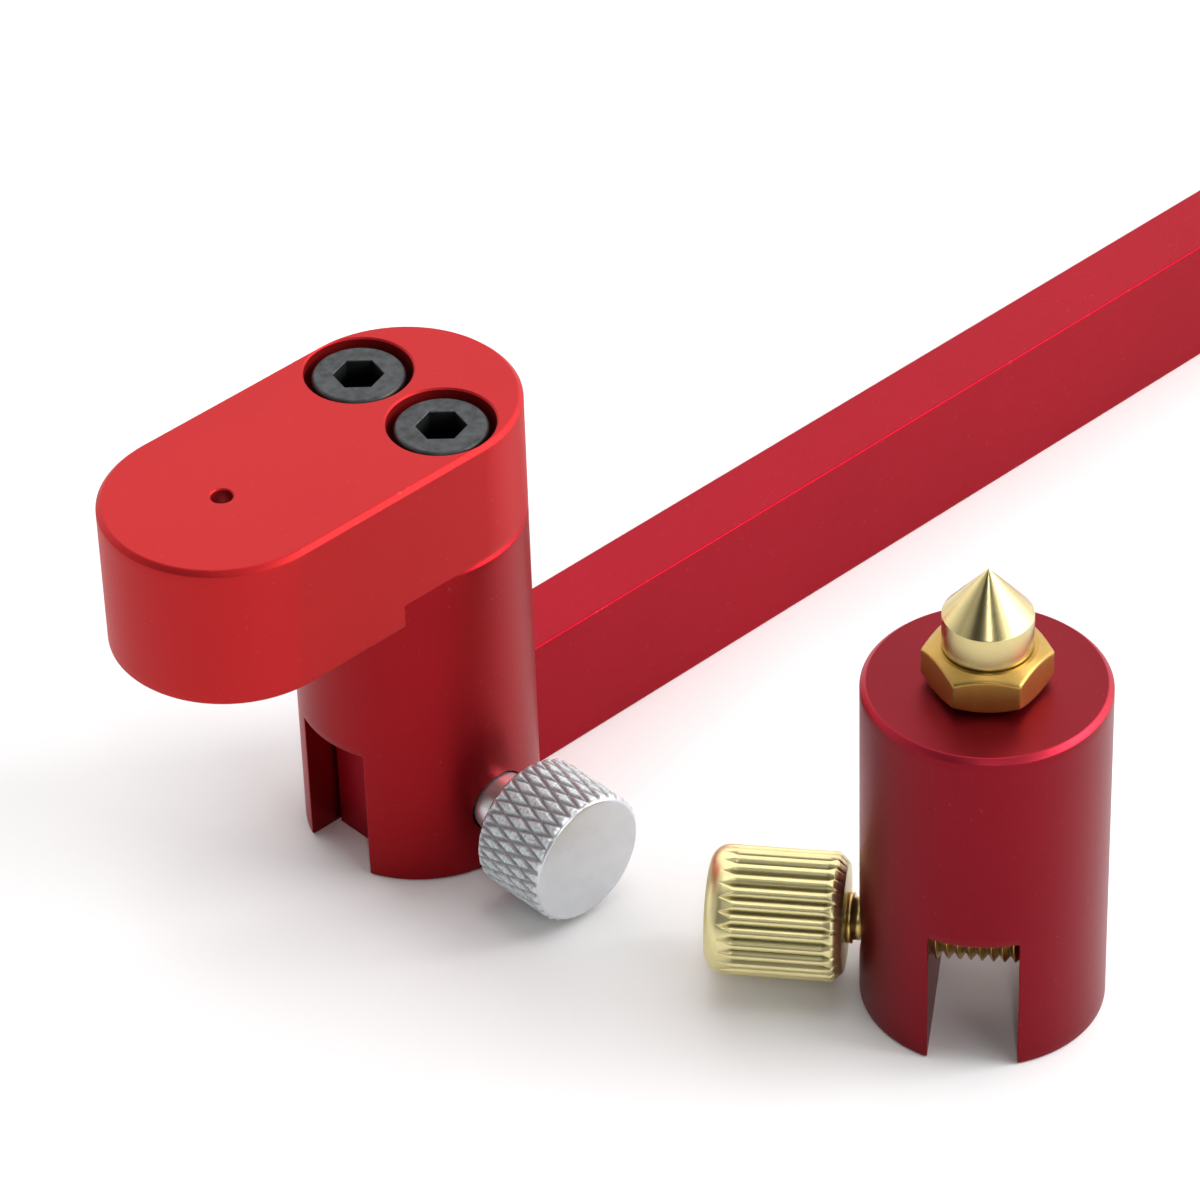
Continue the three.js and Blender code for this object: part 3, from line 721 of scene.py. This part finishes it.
# %% [markdown]
# ## The steel clamp screw
# The stud shows a polished neck that is fullest at the post. Its knob has a diamond knurl: two families
# of V grooves that cross, one climbing to the left and one to the right. They stand steep, about 18
# degrees from the axis, so the diamonds are long and narrow. Both ends of the knob are chamfered. The
# grooves are real and not a bump, because they notch the knob's outline.

# %% Steel stud and knob
SPIGOT_RADIUS = 1.9 * MM
KNOB_BORE = 2.2 * MM
STEEL_FACE = 14.5 * MM  # the neck's outer end, along the screw's axis


def steel_stud():
    """Thread, a collar that bulges at the post and tapers off, and the spigot that the knob is pressed
    on. The collar's ring radius is the neck's plus the bulge times a power of a sine."""
    start, end, neck, bulge = 3.6 * MM, 10.1 * MM, 1.9 * MM, 1.06 * MM
    fullest, inward, outward, spigot = 11.3 * MM, 1.1 * MM, 2.9 * MM, 4.8 * MM
    swell = np.linspace(0, np.pi, 49)
    reach = np.where(swell < np.pi / 2, inward, outward)
    collar = np.column_stack([neck + bulge * np.sin(swell) ** 0.5, fullest - reach * np.cos(swell)])
    profile = np.vstack([threaded_profile(start, end), [(neck, end + 2 * LEDGE)], collar,
                         [(neck, STEEL_FACE), (SPIGOT_RADIUS, STEEL_FACE + LEDGE),
                          (SPIGOT_RADIUS, STEEL_FACE + spigot)]])
    piece = turned("scriber_clamp_stud_turned", profile, STEEL_AXIS, COLUMNS, thread_radius(start, end))
    return dress(piece, "scriber_clamp_stud", "scriber_stud", bright_steel, 0)


KNURL_COUNT = 32
KNURL_REPEAT = 3.8 * MM  # the height in which a groove moves on by one tooth
GROOVE_SHARE = 0.5  # the share of a tooth's width that the groove takes


def knurl(depth, full):
    """Radius of a diamond knurl. Each family of grooves is a triangle wave of the angle times the count,
    plus or minus the height over the repeat, and the deeper groove wins. The grooves run out through
    the chamfers, because the radius is the lesser of the turned one and the knurled one."""
    def radius_at(angle, radius, height):
        turns = angle / (2 * np.pi) * KNURL_COUNT
        climb = height / KNURL_REPEAT
        waves = [np.abs(2 * ((turns + sign * climb) % 1) - 1) for sign in (-1, 1)]
        cut = np.clip(1 - np.minimum(*waves) / GROOVE_SHARE, 0, 1)
        return np.minimum(radius, full - depth * cut)
    return radius_at


def steel_knob():
    """The knurled knob, hollow at its inner end for the spigot."""
    radius, length, chamfer, groove, hollow = 6.4 * MM, 8.1 * MM, 0.4 * MM, 0.28 * MM, 5.1 * MM
    walls = np.linspace((radius, chamfer), (radius, length - chamfer), 110)
    foot = np.linspace((radius - chamfer, 0), (radius, chamfer), 9)
    rim = np.linspace((radius, length - chamfer), (radius - chamfer, length), 9)
    profile = np.vstack([foot[:-1], walls, rim[1:-1], [(radius - chamfer - 0.06 * MM, length - LEDGE)],
                         [(radius - chamfer - 0.2 * MM, length)], [(0.3 * MM, length)]])
    place = STEEL_AXIS @ Matrix.Translation((0, 0, STEEL_FACE + SEAM_GAP))
    knob = turned("scriber_clamp_knob_knurled", profile, place, KNURL_COUNT * 16, knurl(groove, radius))
    hole = turned("hole", [(KNOB_BORE, -OVERRUN), (KNOB_BORE, hollow)], place)
    return dress(boolean(knob, [hole]), "scriber_clamp_knob", "scriber_knob", knurled_steel,
                 0)


steel_stud()
steel_knob()


# %% [markdown]
# ## The brass clamp screw
# Its thread crosses the loose head's slot. The knob has straight V flutes with sharp crests, cut by a
# tool that enters and leaves at a slant, so that each flute comes to a point. The outer end is rounded
# over, and the inner end is chamfered. One wave of the angle makes all the flutes, where as many
# boolean cuts would leave slivers between them.

# %% Brass stud and knob
BRASS_FACE = 12.1 * MM


def arc(radius, height, size, start, end, steps=20):
    """Points of a profile on an arc about (radius, height), from one angle to another, in degrees."""
    angle = np.radians(np.linspace(start, end, steps + 1))
    return np.stack([radius + size * np.cos(angle), height + size * np.sin(angle)], axis=-1)


def brass_stud():
    """Thread across the slot, a thin neck, a shoulder and the knob's spigot."""
    start, end, neck, shoulder = -3.7 * MM, 10.4 * MM, 1.95 * MM, 2.3 * MM
    shoulder_foot, spigot = BRASS_FACE - 0.55 * MM, 7.4 * MM
    profile = np.vstack([threaded_profile(start, end),
                         [(neck, end + 2 * LEDGE), (neck, shoulder_foot),
                          (shoulder, shoulder_foot + LEDGE), (shoulder, BRASS_FACE),
                          (SPIGOT_RADIUS, BRASS_FACE + LEDGE), (SPIGOT_RADIUS, BRASS_FACE + spigot)]])
    piece = turned("centre_clamp_stud_turned", profile, BRASS_AXIS, COLUMNS, thread_radius(start, end))
    return dress(piece, "centre_clamp_stud", "centre_stud", stud_brass, 0)


FLUTES = 28


def flutes(depth, start, end, run_out):
    """Radius of a fluted knob. The depth goes with the square of a triangle wave of the angle, which
    makes round ridges and sharp valleys, and it rises from nothing at both ends."""
    def radius_at(angle, radius, height):
        wave = np.abs(2 * ((angle / (2 * np.pi) * FLUTES) % 1) - 1)
        rise = np.clip(np.minimum(height - start, end - height) / run_out, 0, 1)
        return radius - depth * np.clip(wave ** 2 - (1 - rise), 0, 1)
    return radius_at


def brass_knob():
    """The fluted knob, chamfered at its inner end and rounded at its outer end."""
    radius, length, corner, chamfer = 5.85 * MM, 12.4 * MM, 1.7 * MM, 0.9 * MM
    groove, first, run_out, hollow = 0.5 * MM, 0.2 * MM, 1.3 * MM, 7.7 * MM
    rows = np.linspace(chamfer, length - corner, 60)
    body = np.column_stack([np.full(len(rows), radius), rows])
    profile = np.vstack([[(radius - chamfer, 0)], body[:-1],
                         arc(radius - corner, length - corner, corner, 0, 90)])
    place = BRASS_AXIS @ Matrix.Translation((0, 0, BRASS_FACE + SEAM_GAP))
    knob = turned("centre_clamp_knob_fluted", profile, place, FLUTES * 18,
                  flutes(groove, first, length - run_out, run_out))
    hole = turned("hole", [(KNOB_BORE, -OVERRUN), (KNOB_BORE, hollow)], place)
    return dress(boolean(knob, [hole]), "centre_clamp_knob", "centre_knob", knob_brass, 0)


brass_stud()
brass_knob()


# %% [markdown]
# ## Lock nut and centre point
# The nut is a hexagon bar whose corners were turned back to a cone at both faces. Each flat and each
# cone is a distance from the axis, and the nut's wall is the least of them, rounded where two meet,
# where a bevel would have to follow curved edges. The point is a cone on a short collar, with a
# threaded shank that goes down through the nut.

# %% Nut and point
NUT_HEIGHT = 4 * MM
NUT_TURN = np.radians(4.4)
GLANCING = 0.2  # the least cosine between a flat's normal and a direction that meets it


def soft_minimum(distances, softness):
    """A minimum with rounded transitions: -s log(sum(exp(-d / s)))."""
    least = np.min(distances, axis=0)
    total = sum(np.exp(-(distance - least) / softness) for distance in distances)
    return least - softness * np.log(total)


def nut_radius(across, face, height, turn, softness):
    """Distance from the axis to a hexagon that is turned back at both ends to cones of 30 degrees, which
    start at the face's radius. A flat at the angle f is met at across / 2 / cos(a - f), and a flat that
    faces away isn't met."""
    def radius_at(angle, radius, level):
        walls = []
        for flat in np.radians(np.arange(6) * 60) + turn:
            facing = np.cos(angle - flat)
            wall = np.where(facing > GLANCING, across / 2 / np.maximum(facing, GLANCING), across)
            walls.append(np.broadcast_to(wall, radius.shape))
        for depth in (level, height - level):
            walls.append(face + depth / np.tan(np.radians(30)))
        return np.minimum(soft_minimum(np.array(walls), softness), radius)
    return radius_at


def lock_nut():
    """The rounded hexagon, drilled."""
    across, face, height, softness = 10 * MM, 4.4 * MM, NUT_HEIGHT, 0.06 * MM
    rows = np.linspace(0, 1, 41)
    heights = height * (rows - np.sin(2 * np.pi * rows) / (2 * np.pi) * 0.8)  # closer near both faces
    body = np.column_stack([np.full(len(rows), across), heights])
    place = CENTRE_HEAD @ Matrix.Translation((0, 0, POST_HEIGHT + SEAM_GAP))
    nut = turned("centre_lock_nut_milled", body, place, 360,
                 nut_radius(across, face, height, NUT_TURN, softness))
    boolean(nut, [drill(THREAD_RADIUS + FIT_GAP, -OVERRUN, height, place)])
    return dress(nut, "centre_lock_nut", "lock_nut", nut_brass)


def centre_point():
    """Threaded shank, collar and cone."""
    start, end, eased = -13.3 * MM, 0.0, 0.06 * MM
    wide, collar, tip, blunt = 4 * MM, 3.2 * MM, 8 * MM, 0.03 * MM
    head = softened([(THREAD_RADIUS - THREAD_DEPTH, end + LEDGE / 2), (wide, end + LEDGE), (wide, collar),
                     (blunt, tip)], eased)
    place = CENTRE_HEAD @ Matrix.Translation((0, 0, POST_HEIGHT + NUT_HEIGHT + 2 * SEAM_GAP))
    profile = np.vstack([threaded_profile(start, end), head])
    piece = turned("centre_point_turned", profile, place, COLUMNS, thread_radius(start, end))
    return dress(piece, "centre_point", "point", point_brass)


lock_nut()
centre_point()


# %% [markdown]
# ## Floor
# The floor is a plain pale sheet, large and matt, so that it shows only the tool's soft shadows.

# %% Floor
def floor():
    """A large square at the height of the feet, in a pale matt grey with a faint unevenness."""
    reach = 3.0  # metres each way
    corners = [(-reach, -reach, 0), (reach, -reach, 0), (reach, reach, 0), (-reach, reach, 0)]
    sheet = mesh_piece("floor", corners, [(0, 1, 2, 3)])
    recipe = Recipe("floor_paper")
    shade = recipe.mix(recipe.noise(recipe.place(), 30.0), (0.86, 0.86, 0.86, 1), (0.9, 0.9, 0.9, 1))
    sheet.data.materials.append(recipe.set(base_color=shade, roughness=0.9))


floor()
print("the floor lies at the height of the feet")


# %% [markdown]
# ## Light
# Metal shows what it reflects, so the lights are large soft panels: the strongest high on the right, a
# weak one low on the right, one in front, one overhead and a faint one on the left. A narrow strip beside
# the camera gives the brass cone its glint. A panel's power is its brightness times its area times pi.
# The room is bright beyond the tool and dark behind the camera, so the tops are light and the sides that
# face the camera stay deep in colour.

# %% Lights
AIM = Vector((0.02, -0.01, 0.02))


def panel(name, direction, distance, size, brightness):
    """A soft rectangular light that stands off from the tool in a direction and faces it."""
    data = bpy.data.lights.new(name, "AREA")
    data.shape = "RECTANGLE"
    data.size, data.size_y = size
    data.energy = brightness * np.pi * size[0] * size[1]
    light = bpy.data.objects.new(name, data)
    outward = Vector(direction).normalized()
    light.location = AIM + outward * distance
    light.rotation_euler = outward.to_track_quat("Z", "Y").to_euler()
    bpy.context.scene.collection.objects.link(light)
    print("panel", name, "has", round(data.energy, 2), "W")


panel("right", (0.53, -0.61, 0.58), 0.8, (0.4, 0.4), 8.0)
panel("overhead", (0.0, -0.05, 1), 0.9, (0.3, 0.3), 3.0)
panel("low right", (0.85, -0.45, 0.25), 0.8, (0.5, 0.3), 1.6)
panel("front", (0.1, -0.95, 0.4), 0.8, (0.5, 0.3), 3.6)
panel("left", (-0.9, 0.15, 0.4), 0.8, (0.3, 0.5), 0.5)
panel("by the camera", (-0.49, -0.59, 0.7), 0.75, (0.035, 0.3), 16.0)


def studio():
    """A pale room that is darker on the camera's side. Its strength falls in a straight line as the dot
    product of the direction and the one to the camera rises."""
    world = bpy.data.worlds.new("studio")
    world.use_nodes = True
    nodes, links = world.node_tree.nodes, world.node_tree.links
    direction = nodes.new("ShaderNodeTexCoord").outputs["Object"]
    share = nodes.new("ShaderNodeVectorMath")
    share.operation = "DOT_PRODUCT"
    share.inputs[1].default_value = (-0.75, -0.5, 0.43)
    links.new(direction, share.inputs[0])
    fall = nodes.new("ShaderNodeMapRange")
    for socket, value in zip(("From Min", "From Max", "To Min", "To Max"), (-0.2, 0.8, 1.75, 0.02)):
        fall.inputs[socket].default_value = value
    links.new(share.outputs["Value"], fall.inputs["Value"])
    links.new(fall.outputs["Result"], nodes["Background"].inputs["Strength"])
    nodes["Background"].inputs["Color"].default_value = (1, 1, 1, 1)
    return world


bpy.context.scene.world = studio()
bpy.context.scene.view_settings.view_transform = "Standard"


# %% [markdown]
# ## Camera
# The camera has a long lens and stands where the photograph's did, which was worked out from the edges
# of the scribing head.

# %% Camera
CAMERA_AZIMUTH = np.radians(42.12)
CAMERA_ELEVATION = np.radians(38)
CAMERA_ROLL = np.radians(-1.99)
CAMERA_PLACE = (-0.2744, -0.329, 0.3579)
FOCAL_SHARE = 5970 / 1200  # focal length over the picture's width


def camera():
    """Looks along (cos e sin a, cos e cos a, -sin e), with its right-hand side level but for the roll."""
    a, e, roll = CAMERA_AZIMUTH, CAMERA_ELEVATION, CAMERA_ROLL
    forward = np.array([np.cos(e) * np.sin(a), np.cos(e) * np.cos(a), -np.sin(e)])
    level = np.array([np.cos(a), -np.sin(a), 0])
    up = np.cross(level, forward)
    right = np.cos(roll) * level + np.sin(roll) * up
    top = -np.sin(roll) * level + np.cos(roll) * up
    data = bpy.data.cameras.new("camera")
    data.sensor_width = 36
    data.lens = FOCAL_SHARE * data.sensor_width
    data.clip_start = 0.01
    eye = bpy.data.objects.new("camera", data)
    turn = np.eye(4)
    turn[:3, 0], turn[:3, 1], turn[:3, 2], turn[:3, 3] = right, top, -forward, CAMERA_PLACE
    eye.matrix_world = Matrix(turn.tolist())
    bpy.context.scene.collection.objects.link(eye)
    bpy.context.scene.camera = eye
    print("the lens is", round(data.lens, 1), "mm long")


camera()
